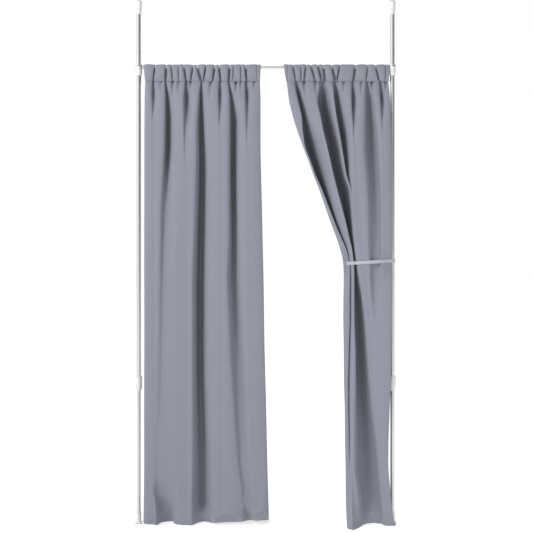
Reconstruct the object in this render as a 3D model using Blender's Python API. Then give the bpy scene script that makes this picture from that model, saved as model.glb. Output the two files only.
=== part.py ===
"""A pair of rod-pocket curtains on a rod between two telescopic posts braced floor to ceiling.

Metres, +Z up, the front towards -Y. The origin lies on the floor, midway between the posts.
"""

import bmesh
import bpy
import numpy as np
from mathutils import Matrix

# Driving dimensions
POST_HEIGHT = 2.800
POST_SPACING = 1.360
ROD_HEIGHT = 2.445
COLLAR_TOP = 0.790
GAP = 0.0003
ROUND_STEPS = 20

# Post tubes
LOWER_RADIUS = 0.0110
UPPER_RADIUS = 0.0125
TUBE_WALL = 0.0010
LOWER_TUBE_TOP = 1.150

# Foot
FLOOR_PAD_RADIUS = 0.0200
FLOOR_PAD_THICK = 0.0030
FOOT_FLANGE_RADIUS = 0.0210
FOOT_FLANGE_TOP = 0.0115
FOOT_SLEEVE_RADIUS = 0.0138
FOOT_SLEEVE_TOP = 0.0620
FOOT_FLOOR = 0.0120

# Lock collar and the collet inside it
COLLAR_RADIUS = 0.0180
COLLAR_LENGTH = 0.0790
COLLAR_TAPER = 0.0200
COLLET_LENGTH = 0.0180

# Clamp that carries the rod
CLAMP_RADIUS = 0.0172
CLAMP_NECK_RADIUS = 0.0137
CLAMP_BOTTOM = ROD_HEIGHT - 0.0465
CLAMP_SHOULDER = ROD_HEIGHT + 0.0020
CLAMP_TOP = ROD_HEIGHT + 0.0150
SCREW_HEIGHT = ROD_HEIGHT - 0.0060
SCREW_CAP_RADIUS = 0.0065
SCREW_CAP_DEPTH = 0.0062
SCREW_SHANK_RADIUS = 0.0022

# Rod and its end eyes
ROD_OUTER_RADIUS = 0.0080
ROD_INNER_RADIUS = 0.0065
ROD_WALL = 0.0008
ROD_OUTER_END = -0.100
ROD_INNER_END = -0.530
EYE_RADIUS = 0.0180
EYE_THICK = 0.0095
EYE_BOSS_RADIUS = 0.0094
EYE_REACH = 0.0300
SPIGOT_LENGTH = 0.0250

# Screw jack at the ceiling
CEILING_PAD_RADIUS = 0.0150
CEILING_PAD_THICK = 0.0027
CAP_RADIUS = 0.0165
CAP_BOTTOM = POST_HEIGHT - 0.0475
CAP_CHAMFER = 0.0048
NUT_RADIUS = 0.0140
NUT_LENGTH = 0.0212
INSERT_FLANGE = 0.0032
INSERT_LENGTH = 0.0310
SPINDLE_RADIUS = 0.0060
SPINDLE_LENGTH = 0.1300

# Curtains
CLOTH_THICK = 0.0020
POCKET_TOP = ROD_HEIGHT + 0.0130
SEAM_HEIGHT = ROD_HEIGHT - 0.0790
POCKET_HALF_DEPTH = 0.0125
POCKET_WALL = 0.0022
LEADING_END_WIDTH = 0.0200
FOLDS = 8
STEPS_PER_FOLD = 8
LEFT_OUTER_EDGE = -0.654
LEFT_LEADING_EDGE = -0.025
RIGHT_OUTER_EDGE = 0.668
RIGHT_LEADING_EDGE = 0.098
HEM_HEIGHT = 0.0010

# Tieback round the right curtain and its post
TIE_HEIGHT = 1.400
TIE_RISE = 0.0140
TIE_WIDTH = 0.0180
TIE_THICK = 0.0016
TIE_BUNDLE_CENTRE = 0.548
TIE_BUNDLE_HALF_WIDTH = 0.1160
TIE_BUNDLE_HALF_DEPTH = 0.0560
TIE_STEPS = 40


def clear_scene():
    for obj in list(bpy.data.objects):
        bpy.data.objects.remove(obj)


def material(name, colour, roughness, metallic=0.0):
    made = bpy.data.materials.new(name)
    made.use_nodes = True
    shader = made.node_tree.nodes["Principled BSDF"]
    shader.inputs["Base Color"].default_value = (*colour, 1.0)
    shader.inputs["Roughness"].default_value = roughness
    shader.inputs["Metallic"].default_value = metallic
    return made


def finish(name, mesh, place, finish_material, round_piece=True):
    """Puts a mesh into the scene as one named object with its origin at place."""
    mesh.materials.append(finish_material)
    if round_piece:
        mesh.shade_smooth()
        mesh.set_sharp_from_angle(angle=np.radians(30))
    made = bpy.data.objects.new(name, mesh)
    made.location = place
    bpy.context.scene.collection.objects.link(made)
    return made


def turned_mesh(name, profile, steps=ROUND_STEPS):
    """A (radius, height) outline turned about Z. An outline that starts and ends off the axis is a ring."""
    work = bmesh.new()
    corners = [work.verts.new((radius, 0.0, height)) for radius, height in profile]
    edges = [work.edges.new(pair) for pair in zip(corners, corners[1:])]
    if profile[0][0] > 0.0:
        edges.append(work.edges.new((corners[-1], corners[0])))
    bmesh.ops.spin(
        work,
        geom=corners + edges,
        cent=(0.0, 0.0, 0.0),
        axis=(0.0, 0.0, 1.0),
        angle=2.0 * np.pi,
        steps=steps,
        use_merge=True,
    )
    bmesh.ops.remove_doubles(work, verts=work.verts, dist=1e-6)
    bmesh.ops.recalc_face_normals(work, faces=work.faces)
    mesh = bpy.data.meshes.new(name)
    work.to_mesh(mesh)
    work.free()
    return mesh


def ring_outline(outer, inner, bottom, top):
    return [(outer, top), (outer, bottom), (inner, bottom), (inner, top)]


def along_x(mesh):
    mesh.transform(Matrix.Rotation(np.pi / 2.0, 4, "Y"))
    return mesh


def cut(target, cutter_mesh, place, operation="DIFFERENCE"):
    """A live Boolean with a hidden helper that sits at place."""
    helper = bpy.data.objects.new(f"helper_{target.name}_{len(target.modifiers)}", cutter_mesh)
    helper.location = place
    helper.hide_render = True
    helper.display_type = "WIRE"
    bpy.context.scene.collection.objects.link(helper)
    change = target.modifiers.new(operation.lower(), "BOOLEAN")
    change.operation = operation
    change.object = helper


def post_foot(side, x, finishes):
    pad = [(0.0, FLOOR_PAD_THICK), (FLOOR_PAD_RADIUS, FLOOR_PAD_THICK), (FLOOR_PAD_RADIUS, 0.0), (0.0, 0.0)]
    finish(f"{side}_floor_pad", turned_mesh("floor_pad", pad), (x, 0, 0), finishes["rubber"])
    bottom = FLOOR_PAD_THICK + GAP
    bore = LOWER_RADIUS + GAP
    cup = [
        (0.0, FOOT_FLOOR),
        (bore, FOOT_FLOOR),
        (bore, FOOT_SLEEVE_TOP),
        (FOOT_SLEEVE_RADIUS - 0.0010, FOOT_SLEEVE_TOP),
        (FOOT_SLEEVE_RADIUS, FOOT_SLEEVE_TOP - 0.0015),
        (FOOT_SLEEVE_RADIUS, FOOT_FLANGE_TOP + 0.0040),
        (FOOT_SLEEVE_RADIUS + 0.0040, FOOT_FLANGE_TOP),
        (FOOT_FLANGE_RADIUS, FOOT_FLANGE_TOP - 0.0025),
        (FOOT_FLANGE_RADIUS, bottom),
        (0.0, bottom),
    ]
    finish(f"{side}_foot_cup", turned_mesh("foot_cup", cup), (x, 0, 0), finishes["plastic"])


def post_tubes(side, x, finishes):
    lower = ring_outline(LOWER_RADIUS, LOWER_RADIUS - TUBE_WALL, FOOT_FLOOR + GAP, LOWER_TUBE_TOP)
    finish(f"{side}_lower_tube", turned_mesh("lower_tube", lower), (x, 0, 0), finishes["silver"])
    spigot = LOWER_RADIUS - TUBE_WALL - GAP
    head = UPPER_RADIUS - TUBE_WALL - 0.00025
    start = LOWER_TUBE_TOP + GAP
    bush = [
        (0.0, start + 0.012),
        (head - 0.001, start + 0.012),
        (head, start + 0.010),
        (head, start),
        (spigot, start),
        (spigot, start - 0.020),
        (0.0, start - 0.020),
    ]
    finish(f"{side}_guide_bush", turned_mesh("guide_bush", bush), (x, 0, 0), finishes["plastic"])
    bottom = COLLAR_TOP - 0.045
    upper = ring_outline(UPPER_RADIUS, UPPER_RADIUS - TUBE_WALL, bottom, insert_seat())
    finish(f"{side}_upper_tube", turned_mesh("upper_tube", upper), (x, 0, 0), finishes["silver"])


def lock(side, x, finishes):
    """The collar turns on the upper tube's end and squeezes a collet on the lower tube."""
    bottom = COLLAR_TOP - COLLAR_LENGTH
    seat = COLLAR_TOP - 0.045 - GAP
    chamber = seat - 0.0035
    collet_outer = LOWER_RADIUS + 0.0034
    upper_bore = UPPER_RADIUS + GAP
    lower_bore = LOWER_RADIUS + GAP
    collar = [
        (upper_bore, COLLAR_TOP),
        (upper_bore, seat),
        (lower_bore, seat),
        (lower_bore, chamber),
        (collet_outer, chamber),
        (collet_outer, chamber - COLLET_LENGTH),
        (lower_bore, chamber - COLLET_LENGTH),
        (lower_bore, bottom),
        (COLLAR_RADIUS - 0.0045, bottom),
        (COLLAR_RADIUS, bottom + COLLAR_TAPER),
        (COLLAR_RADIUS, COLLAR_TOP - 0.0015),
        (COLLAR_RADIUS - 0.0015, COLLAR_TOP),
    ]
    finish(f"{side}_lock_collar", turned_mesh("lock_collar", collar), (x, 0, 0), finishes["plastic"])
    collet = ring_outline(
        collet_outer - GAP, lower_bore - 0.0001, chamber - COLLET_LENGTH + GAP, chamber - GAP
    )
    finish(f"{side}_lock_collet", turned_mesh("lock_collet", collet), (x, 0, 0), finishes["plastic"])


def clamp(side, x, finishes):
    """A sleeve that slides on the upper tube. Its shoulder carries the rod's eye, its screw grips the tube."""
    bore = UPPER_RADIUS + GAP
    sleeve = [
        (bore, CLAMP_TOP),
        (bore, CLAMP_BOTTOM),
        (bore + 0.0012, CLAMP_BOTTOM),
        (CLAMP_RADIUS, CLAMP_BOTTOM + 0.0140),
        (CLAMP_RADIUS, CLAMP_SHOULDER),
        (CLAMP_NECK_RADIUS, CLAMP_SHOULDER),
        (CLAMP_NECK_RADIUS, CLAMP_TOP),
    ]
    made = finish(f"{side}_rod_clamp", turned_mesh("rod_clamp", sleeve), (x, 0, 0), finishes["plastic"])
    hole = solid_rod("screw_hole", SCREW_SHANK_RADIUS + GAP, -0.030, -0.002, "Y", 12)
    cut(made, hole, (x, 0, SCREW_HEIGHT))
    face = -CLAMP_RADIUS - 0.0006
    cap = [
        (0.0, 0.0),
        (SCREW_CAP_RADIUS - 0.0015, 0.0),
        (SCREW_CAP_RADIUS, -0.0015),
        (SCREW_CAP_RADIUS, -SCREW_CAP_DEPTH),
        (SCREW_SHANK_RADIUS, -SCREW_CAP_DEPTH),
        (SCREW_SHANK_RADIUS, -SCREW_CAP_DEPTH - CLAMP_RADIUS + UPPER_RADIUS),
        (0.0, -SCREW_CAP_DEPTH - CLAMP_RADIUS + UPPER_RADIUS),
    ]
    screw = turned_mesh("clamp_screw", cap, 16)
    screw.transform(Matrix.Rotation(np.pi / 2.0, 4, "X"))
    screw.transform(Matrix.Translation((0, face - SCREW_CAP_DEPTH, 0)))
    finish(f"{side}_clamp_screw", screw, (x, 0, SCREW_HEIGHT), finishes["white"])


def solid_rod(name, radius, low, high, axis="X", steps=ROUND_STEPS):
    """A plain round bar from low to high along one axis."""
    outline = [(0.0, high), (radius, high), (radius, low), (0.0, low)]
    mesh = turned_mesh(name, outline, steps)
    mesh.transform(Matrix.Rotation(np.pi / steps, 4, "Z"))
    turn = (np.pi / 2.0, "Y") if axis == "X" else (-np.pi / 2.0, "X")
    mesh.transform(Matrix.Rotation(turn[0], 4, turn[1]))
    return mesh


def block(name, low, high):
    """A box between two corners."""
    work = bmesh.new()
    bmesh.ops.create_cube(work, size=1.0)
    low, high = np.array(low), np.array(high)
    size, centre = high - low, (low + high) / 2.0
    for vert in work.verts:
        vert.co = np.array(vert.co) * size + centre
    mesh = bpy.data.meshes.new(name)
    work.to_mesh(mesh)
    work.free()
    return mesh


def rod_eye(side, x, spigot_radius, finishes):
    """A ring on the clamp's neck, with a gusset to a boss and a spigot that plug the rod's end."""
    bottom = CLAMP_SHOULDER + GAP
    ring = ring_outline(EYE_RADIUS, CLAMP_NECK_RADIUS + GAP, bottom, bottom + EYE_THICK)
    inward = -np.sign(x)
    eye = finish(f"{side}_rod_end", turned_mesh("rod_end", ring), (x, 0, 0), finishes["silver"])
    near, far = sorted((inward * 0.0155, inward * 0.0205))
    gusset = block("gusset", (near, -0.0055, bottom + 0.0002), (far, 0.0055, bottom + 0.0048))
    cut(eye, gusset, (x, 0, 0), "UNION")
    reach = sorted((inward * (CLAMP_RADIUS + 2 * GAP), inward * EYE_REACH))
    cut(eye, solid_rod("boss", EYE_BOSS_RADIUS, *reach), (x, 0, ROD_HEIGHT), "UNION")
    plug = sorted((inward * (EYE_REACH - 0.002), inward * (EYE_REACH + SPIGOT_LENGTH)))
    cut(eye, solid_rod("spigot", spigot_radius, *plug), (x, 0, ROD_HEIGHT), "UNION")


def insert_seat():
    return CAP_BOTTOM - GAP - NUT_LENGTH - GAP - INSERT_FLANGE - GAP


def screw_jack(side, x, finishes):
    """A captive nut drives a spindle up into the ceiling cap."""
    seat = insert_seat() + GAP
    bore = SPINDLE_RADIUS + GAP
    insert = [
        (bore, seat + INSERT_FLANGE),
        (bore, seat - INSERT_LENGTH),
        (UPPER_RADIUS - TUBE_WALL - GAP, seat - INSERT_LENGTH),
        (UPPER_RADIUS - TUBE_WALL - GAP, seat),
        (UPPER_RADIUS, seat),
        (UPPER_RADIUS, seat + INSERT_FLANGE),
    ]
    finish(f"{side}_tube_insert", turned_mesh("tube_insert", insert), (x, 0, 0), finishes["plastic"])
    nut_bottom = seat + INSERT_FLANGE + GAP
    nut = [
        (bore, nut_bottom + NUT_LENGTH),
        (bore, nut_bottom),
        (NUT_RADIUS - 0.0010, nut_bottom),
        (NUT_RADIUS, nut_bottom + 0.0015),
        (NUT_RADIUS, nut_bottom + NUT_LENGTH - 0.0015),
        (NUT_RADIUS - 0.0010, nut_bottom + NUT_LENGTH),
    ]
    finish(f"{side}_tension_nut", turned_mesh("tension_nut", nut), (x, 0, 0), finishes["plastic"])
    cap_top = POST_HEIGHT - CEILING_PAD_THICK - GAP
    socket = cap_top - 0.0080
    cap = [
        (0.0, cap_top),
        (CAP_RADIUS, cap_top),
        (CAP_RADIUS, CAP_BOTTOM + CAP_CHAMFER),
        (CAP_RADIUS - 0.0025, CAP_BOTTOM),
        (bore, CAP_BOTTOM),
        (bore, socket),
        (0.0, socket),
    ]
    finish(f"{side}_ceiling_cap", turned_mesh("ceiling_cap", cap), (x, 0, 0), finishes["plastic"])
    low = socket - GAP - SPINDLE_LENGTH
    spindle = [
        (0.0, socket - GAP),
        (SPINDLE_RADIUS, socket - GAP),
        (SPINDLE_RADIUS, low + 0.0015),
        (SPINDLE_RADIUS - 0.0015, low),
        (0.0, low),
    ]
    finish(f"{side}_spindle", turned_mesh("spindle", spindle, 20), (x, 0, 0), finishes["silver"])
    pad_bottom = POST_HEIGHT - CEILING_PAD_THICK
    pad = [(0.0, POST_HEIGHT), (CEILING_PAD_RADIUS, POST_HEIGHT), (CEILING_PAD_RADIUS, pad_bottom), (0.0, pad_bottom)]
    finish(f"{side}_ceiling_pad", turned_mesh("ceiling_pad", pad), (x, 0, 0), finishes["rubber"])


def rod(finishes):
    half = POST_SPACING / 2.0
    start = -half + EYE_REACH + GAP
    outer = ring_outline(ROD_OUTER_RADIUS, ROD_OUTER_RADIUS - ROD_WALL, start, ROD_OUTER_END)
    tube = along_x(turned_mesh("rod_outer_tube", outer))
    finish("rod_outer_tube", tube, (0, 0, ROD_HEIGHT), finishes["silver"])
    inner = ring_outline(ROD_INNER_RADIUS, ROD_INNER_RADIUS - ROD_WALL, ROD_INNER_END, -start)
    tube = along_x(turned_mesh("rod_inner_tube", inner))
    finish("rod_inner_tube", tube, (0, 0, ROD_HEIGHT), finishes["silver"])
    mouth = ROD_OUTER_END + GAP
    ring = ring_outline(ROD_OUTER_RADIUS, ROD_INNER_RADIUS + GAP, mouth, mouth + 0.0080)
    bush = along_x(turned_mesh("rod_mouth_bush", ring))
    finish("rod_mouth_bush", bush, (0, 0, ROD_HEIGHT), finishes["plastic"])


def oval(half_depth, bottom, top, steps=8):
    """A stadium outline in the YZ plane, anticlockwise seen from +X."""
    angles = np.linspace(0.0, np.pi, steps + 1)
    upper = np.stack([half_depth * np.cos(angles), top - half_depth + half_depth * np.sin(angles)], axis=1)
    lower = np.stack([-half_depth * np.cos(angles), bottom + half_depth - half_depth * np.sin(angles)], axis=1)
    return np.concatenate([upper, lower])


def pocket_tube(name, low, high, place, finishes):
    """A flattened cloth tube along X, from low to high, open at both ends for the rod."""
    outer = oval(POCKET_HALF_DEPTH, SEAM_HEIGHT + GAP, POCKET_TOP)
    inner = oval(POCKET_HALF_DEPTH - POCKET_WALL, SEAM_HEIGHT + GAP + POCKET_WALL, POCKET_TOP - POCKET_WALL)
    count = len(outer)
    rings = [(low, outer), (high, outer), (high, inner), (low, inner)]
    points = [(x - place[0], y - place[1], z - place[2]) for x, ring in rings for y, z in ring]
    step = np.arange(count)
    after = (step + 1) % count
    faces = []
    for ring in range(4):
        here = ring * count
        there = (ring + 1) % 4 * count
        faces += [list(map(int, face)) for face in zip(here + step, there + step, there + after, here + after)]
    mesh = bpy.data.meshes.new(name)
    mesh.from_pydata(points, [], faces)
    orient(mesh)
    return finish(name, mesh, place, finishes["cloth"])


def orient(mesh):
    work = bmesh.new()
    work.from_mesh(mesh)
    bmesh.ops.recalc_face_normals(work, faces=work.faces)
    work.to_mesh(mesh)
    work.free()


def folded_sheet(name, rows_of, finishes):
    """A hanging sheet in even folds. Each row gives its height, its two edges, its fold's depth and how full
    it is: x runs evenly between the edges, and y is a sine under an ellipse that the fullness widens and the
    depth caps. The sheet is thickened along its row's normal."""
    columns = FOLDS * STEPS_PER_FOLD + 1
    share = np.linspace(0.0, 1.0, columns)
    wave = np.sin(2.0 * np.pi * FOLDS * share)
    ellipse = np.sqrt(np.maximum(0.0, 1.0 - (2.0 * share - 1.0) ** 2))
    rows = []
    for height, left, right, depth, fullness in rows_of:
        x = left + (right - left) * share
        y = depth * wave * np.minimum(1.0, ellipse * fullness)
        slope = np.stack([np.gradient(x), np.gradient(y)], axis=1)
        slope /= np.linalg.norm(slope, axis=1)[:, None]
        normal = np.stack([-slope[:, 1], slope[:, 0]], axis=1) * CLOTH_THICK / 2.0
        front = np.stack([x - normal[:, 0], y - normal[:, 1], np.full(columns, height)], axis=1)
        back = np.stack([x + normal[:, 0], y + normal[:, 1], np.full(columns, height)], axis=1)
        rows.append(np.concatenate([front, back[::-1]]))
    loop = 2 * columns
    points = np.concatenate(rows)
    faces = []
    for row in range(len(rows) - 1):
        for step in range(loop):
            after = (step + 1) % loop
            low, high = row * loop, (row + 1) * loop
            faces.append([low + step, low + after, high + after, high + step])
    for row, flip in ((0, True), (len(rows) - 1, False)):
        for step in range(columns - 1):
            start = row * loop
            face = [start + step, start + step + 1, start + loop - 2 - step, start + loop - 1 - step]
            faces.append(face[::-1] if flip else face)
    mesh = bpy.data.meshes.new(name)
    mesh.from_pydata(points.tolist(), [], faces)
    orient(mesh)
    return finish(name, mesh, (0, 0, 0), finishes["cloth"])


def left_curtain(finishes):
    end = LEFT_LEADING_EDGE - LEADING_END_WIDTH
    pocket_tube("left_curtain_heading", LEFT_OUTER_EDGE, end - GAP, (0, 0, 0), finishes)
    pocket_tube("left_leading_end", end, LEFT_LEADING_EDGE, (end, 0, ROD_HEIGHT), finishes)
    rows = (
        (SEAM_HEIGHT, -0.644, -0.034, 0.024, 1.6),
        (2.150, -0.648, -0.024, 0.040, 1.6),
        (1.200, -0.650, -0.010, 0.045, 1.6),
        (0.250, -0.650, 0.012, 0.050, 1.6),
        (HEM_HEIGHT, -0.652, 0.024, 0.070, 1.6),
    )
    folded_sheet("left_curtain_drop", rows, finishes)


def right_curtain(finishes):
    end = RIGHT_LEADING_EDGE + LEADING_END_WIDTH
    outer = RIGHT_OUTER_EDGE - 0.012
    pocket_tube("right_curtain_heading", end + GAP, outer, (0, 0, 0), finishes)
    pocket_tube("right_leading_end", RIGHT_LEADING_EDGE, end, (end, 0, ROD_HEIGHT), finishes)
    rows = (
        (SEAM_HEIGHT, 0.110, 0.655, 0.024, 1.6),
        (2.100, 0.200, 0.658, 0.040, 1.6),
        (1.800, 0.305, 0.660, 0.050, 1.6),
        (1.550, 0.390, 0.660, 0.052, 1.3),
        (TIE_HEIGHT + 0.030, 0.436, 0.660, 0.050, 1.0),
        (TIE_HEIGHT - 0.030, 0.436, 0.660, 0.050, 1.0),
        (1.250, 0.428, 0.660, 0.056, 1.6),
        (0.900, 0.424, 0.660, 0.070, 1.6),
        (0.300, 0.434, 0.660, 0.085, 1.6),
        (HEM_HEIGHT, 0.430, 0.656, 0.120 - CLOTH_THICK / 2.0, 1.6),
    )
    folded_sheet("right_curtain_drop", rows, finishes)


def tie_outline(offset):
    """The taut band round an ellipse (the bundle) and a circle (the post): for each outward direction,
    whichever of the two reaches further gives the point, moved out by offset."""
    angles = np.linspace(0.0, 2.0 * np.pi, TIE_STEPS, endpoint=False)
    out = np.stack([np.cos(angles), np.sin(angles)], axis=1)
    half = np.array([TIE_BUNDLE_HALF_WIDTH, TIE_BUNDLE_HALF_DEPTH])
    reach = np.linalg.norm(out * half, axis=1)
    bundle = np.array([TIE_BUNDLE_CENTRE, 0.0]) + out * half**2 / reach[:, None]
    post = np.array([POST_SPACING / 2.0, 0.0]) + out * (UPPER_RADIUS + GAP)
    further = (post * out).sum(axis=1) > (bundle * out).sum(axis=1)
    return np.where(further[:, None], post, bundle) + out * offset


def tieback(finishes):
    inner = tie_outline(GAP)
    outer = tie_outline(GAP + TIE_THICK)
    count = len(inner)
    middle = TIE_HEIGHT + TIE_RISE * (outer[:, 0] - TIE_BUNDLE_CENTRE) / TIE_BUNDLE_HALF_WIDTH / 2.0
    rings = ((outer, -0.5), (outer, 0.5), (inner, 0.5), (inner, -0.5))
    points = np.concatenate(
        [np.column_stack([ring, middle + level * TIE_WIDTH]) for ring, level in rings]
    )
    faces = []
    for ring in range(4):
        for step in range(count):
            after = (step + 1) % count
            here, there = ring * count, (ring + 1) % 4 * count
            faces.append([here + step, here + after, there + after, there + step])
    mesh = bpy.data.meshes.new("tieback_strap")
    mesh.from_pydata(points.tolist(), [], faces)
    orient(mesh)
    finish("tieback_strap", mesh, (0, 0, 0), finishes["cloth"])
    back = outer[:, 1].max() + GAP
    stud = solid_rod("tieback_snap", 0.0060, back, back + 0.0025, "Y", 16)
    finish("tieback_snap", stud, (TIE_BUNDLE_CENTRE, 0, TIE_HEIGHT), finishes["white"])


def main():
    clear_scene()
    finishes = {
        "silver": material("satin_silver", (0.50, 0.50, 0.49), 0.32, 0.85),
        "plastic": material("grey_plastic", (0.55, 0.55, 0.54), 0.45),
        "white": material("white_plastic", (0.85, 0.85, 0.83), 0.40),
        "rubber": material("grey_rubber", (0.25, 0.25, 0.25), 0.80),
        "cloth": material("blue_grey_cloth", (0.32, 0.33, 0.38), 0.90),
    }
    spigots = {
        "left": ROD_OUTER_RADIUS - ROD_WALL - GAP,
        "right": ROD_INNER_RADIUS - ROD_WALL - GAP,
    }
    for side, x in (("left", -POST_SPACING / 2.0), ("right", POST_SPACING / 2.0)):
        post_foot(side, x, finishes)
        post_tubes(side, x, finishes)
        lock(side, x, finishes)
        clamp(side, x, finishes)
        rod_eye(side, x, spigots[side], finishes)
        screw_jack(side, x, finishes)
    rod(finishes)
    left_curtain(finishes)
    right_curtain(finishes)
    tieback(finishes)


main()
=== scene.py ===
"""Two gathered rod-pocket curtains on a rod between telescopic posts, the right one tied back to its post.

Metres, +Z up, the curtains' front towards -Y. Every place comes from the frame's nodes or from the drawn
sizes below. In plan a curtain is a row of faces and valleys; each valley's lips and depth are drawn at a few
heights, and everything between is worked out.
"""

import bmesh
import bpy
import numpy as np
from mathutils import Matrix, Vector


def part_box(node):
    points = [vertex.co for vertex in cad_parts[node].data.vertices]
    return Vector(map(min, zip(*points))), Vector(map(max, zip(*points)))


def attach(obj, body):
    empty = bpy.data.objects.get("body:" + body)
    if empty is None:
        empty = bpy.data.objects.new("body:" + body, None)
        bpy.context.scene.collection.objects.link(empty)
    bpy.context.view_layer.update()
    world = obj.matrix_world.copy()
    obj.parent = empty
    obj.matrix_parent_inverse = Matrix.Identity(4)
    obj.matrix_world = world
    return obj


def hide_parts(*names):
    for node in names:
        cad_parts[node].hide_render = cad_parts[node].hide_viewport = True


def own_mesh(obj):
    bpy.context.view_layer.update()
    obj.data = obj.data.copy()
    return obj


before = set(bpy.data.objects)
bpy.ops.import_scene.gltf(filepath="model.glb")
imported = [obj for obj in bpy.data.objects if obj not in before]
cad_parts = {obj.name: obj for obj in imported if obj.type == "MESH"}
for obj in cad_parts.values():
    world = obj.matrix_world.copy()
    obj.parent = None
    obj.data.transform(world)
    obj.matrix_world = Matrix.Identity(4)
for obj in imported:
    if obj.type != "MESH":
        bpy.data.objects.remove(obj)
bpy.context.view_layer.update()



# Places read from the frame
def middle_of(node, axis):
    return float(np.mean([corner[axis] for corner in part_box(node)]))


POST_X = {side: middle_of(f"{side}_upper_tube", 0) for side in ("left", "right")}
ROD_HEIGHT = middle_of("rod_outer_tube", 2)
TIE_HEIGHT = middle_of("tieback_strap", 2)
SEAM_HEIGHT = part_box("left_curtain_drop")[1][2]
POCKET_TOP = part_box("left_curtain_heading")[1][2]

# Cloth
PANEL_WIDTH = 1.10
CLOTH_THICK = 0.0006
HEM_DEPTH = 0.060
SIDE_HEM = 0.020
# The panel starts this far up inside the pocket
SEAM_LAP = 0.012
# The clearance between a moving part and its neighbour
GAP = 0.0003
# Just over the floor, for the hem's foot
FLOOR_GAP = 0.0012


# ---------------------------------------------------------------------------------------------------------
# Meshes
# ---------------------------------------------------------------------------------------------------------


def new_object(name, mesh, body, finish, replaced):
    """Names a mesh's object, gives it its finish, puts it on its body and hides the nodes it stands for."""
    mesh.materials.append(finish)
    made = bpy.data.objects.new(name, mesh)
    bpy.context.scene.collection.objects.link(made)
    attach(made, body)
    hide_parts(*replaced)
    return made


def mesh_of(name, points, faces, uv=None):
    """A smooth mesh of quads from whole arrays: points (n, 3), faces (m, 4), uv for each point (n, 2)."""
    mesh = bpy.data.meshes.new(name)
    mesh.vertices.add(len(points))
    mesh.vertices.foreach_set("co", np.asarray(points, np.float32).ravel())
    mesh.loops.add(faces.size)
    mesh.loops.foreach_set("vertex_index", faces.ravel().astype(np.int32))
    mesh.polygons.add(len(faces))
    mesh.polygons.foreach_set("loop_start", np.arange(0, faces.size, faces.shape[1], dtype=np.int32))
    mesh.update(calc_edges=True)
    mesh.validate()
    if uv is not None:
        layer = mesh.uv_layers.new(name="cloth")
        layer.data.foreach_set("uv", np.asarray(uv, np.float32)[faces.ravel()].ravel())
    mesh.shade_smooth()
    return mesh


def grid_faces(rows, columns, wrap_rows=False, wrap_columns=False):
    """Quads of a grid of points, row by row, that may close on itself either way."""
    low = np.arange(rows if wrap_rows else rows - 1)[:, None]
    here = np.arange(columns if wrap_columns else columns - 1)[None, :]
    high, there = (low + 1) % rows, (here + 1) % columns
    corners = [low * columns + here, low * columns + there, high * columns + there, high * columns + here]
    return np.stack(corners, axis=-1).reshape(-1, 4)


def rounded(outline, radius, steps=4):
    """The closed outline with each corner cut by a short curve: corner + a (1-t)^2 + b t^2, where a and b run
    from the corner along its two edges, by the radius or by 0.4 of the edge."""
    corner = np.array(outline, float)
    back, ahead = np.roll(corner, 1, axis=0) - corner, np.roll(corner, -1, axis=0) - corner
    back_length = np.linalg.norm(back, axis=1)[:, None]
    ahead_length = np.linalg.norm(ahead, axis=1)[:, None]
    a = back / back_length * np.minimum(radius, 0.4 * back_length)
    b = ahead / ahead_length * np.minimum(radius, 0.4 * ahead_length)
    share = np.linspace(0.0, 1.0, steps)[None, :, None]
    return (corner[:, None] + a[:, None] * (1.0 - share) ** 2 + b[:, None] * share**2).reshape(-1, 2)


def turned(name, outline, centre, axis="Z", segments=64, fillet=0.0006, flutes=None):
    """A closed (radius, height) outline carried round an axis: x = r cos a, y = r sin a, z = h. An outline
    that touches the axis makes a solid piece. Flutes (count, depth, low, high) press shallow grooves into
    the outer wall between two heights."""
    profile = rounded(outline, fillet) if fillet else np.array(outline, float)
    profile[:, 0] = np.maximum(profile[:, 0], 1e-5)
    angle = np.linspace(0.0, 2.0 * np.pi, segments, endpoint=False)[:, None]
    radius, height = profile[None, :, 0] + 0.0 * angle, profile[None, :, 1] + 0.0 * angle
    if flutes:
        count, depth, low, high = flutes
        outer = radius > 0.93 * profile[:, 0].max()
        within = (height > low) & (height < high) & outer
        radius = radius - within * depth * (0.5 + 0.5 * np.cos(count * angle)) ** 2
    points = np.stack([radius * np.cos(angle), radius * np.sin(angle), height], axis=-1)
    if axis == "X":
        points = points[..., [2, 0, 1]]
    if axis == "Y":
        points = points[..., [0, 2, 1]] * np.array([-1.0, 1.0, 1.0])
    points = points + np.array(centre)
    faces = grid_faces(segments, len(profile), wrap_rows=True, wrap_columns=True)
    mesh = mesh_of(name, points.reshape(-1, 3), faces)
    mesh.set_sharp_from_angle(angle=np.radians(50))
    return mesh


def face_outwards(mesh):
    """Turns every face outwards, after the points that coincide at the axis are merged."""
    work = bmesh.new()
    work.from_mesh(mesh)
    bmesh.ops.remove_doubles(work, verts=work.verts, dist=3e-5)
    bmesh.ops.dissolve_degenerate(work, edges=work.edges, dist=1e-6)
    bmesh.ops.recalc_face_normals(work, faces=work.faces)
    work.to_mesh(mesh)
    work.free()
    return mesh


# ---------------------------------------------------------------------------------------------------------
# Finishes
# ---------------------------------------------------------------------------------------------------------


def wire(tree, kind, links=(), **settings):
    """A shader node: settings are attributes or input names, links are (input, output socket) pairs."""
    made = tree.nodes.new(kind)
    for key, value in settings.items():
        words = key.replace("_", " ").title()
        if hasattr(made, key):
            setattr(made, key, value)
        else:
            made.inputs[words].default_value = value
    for socket, source in links:
        tree.links.new(source, made.inputs[socket])
    return made


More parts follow.
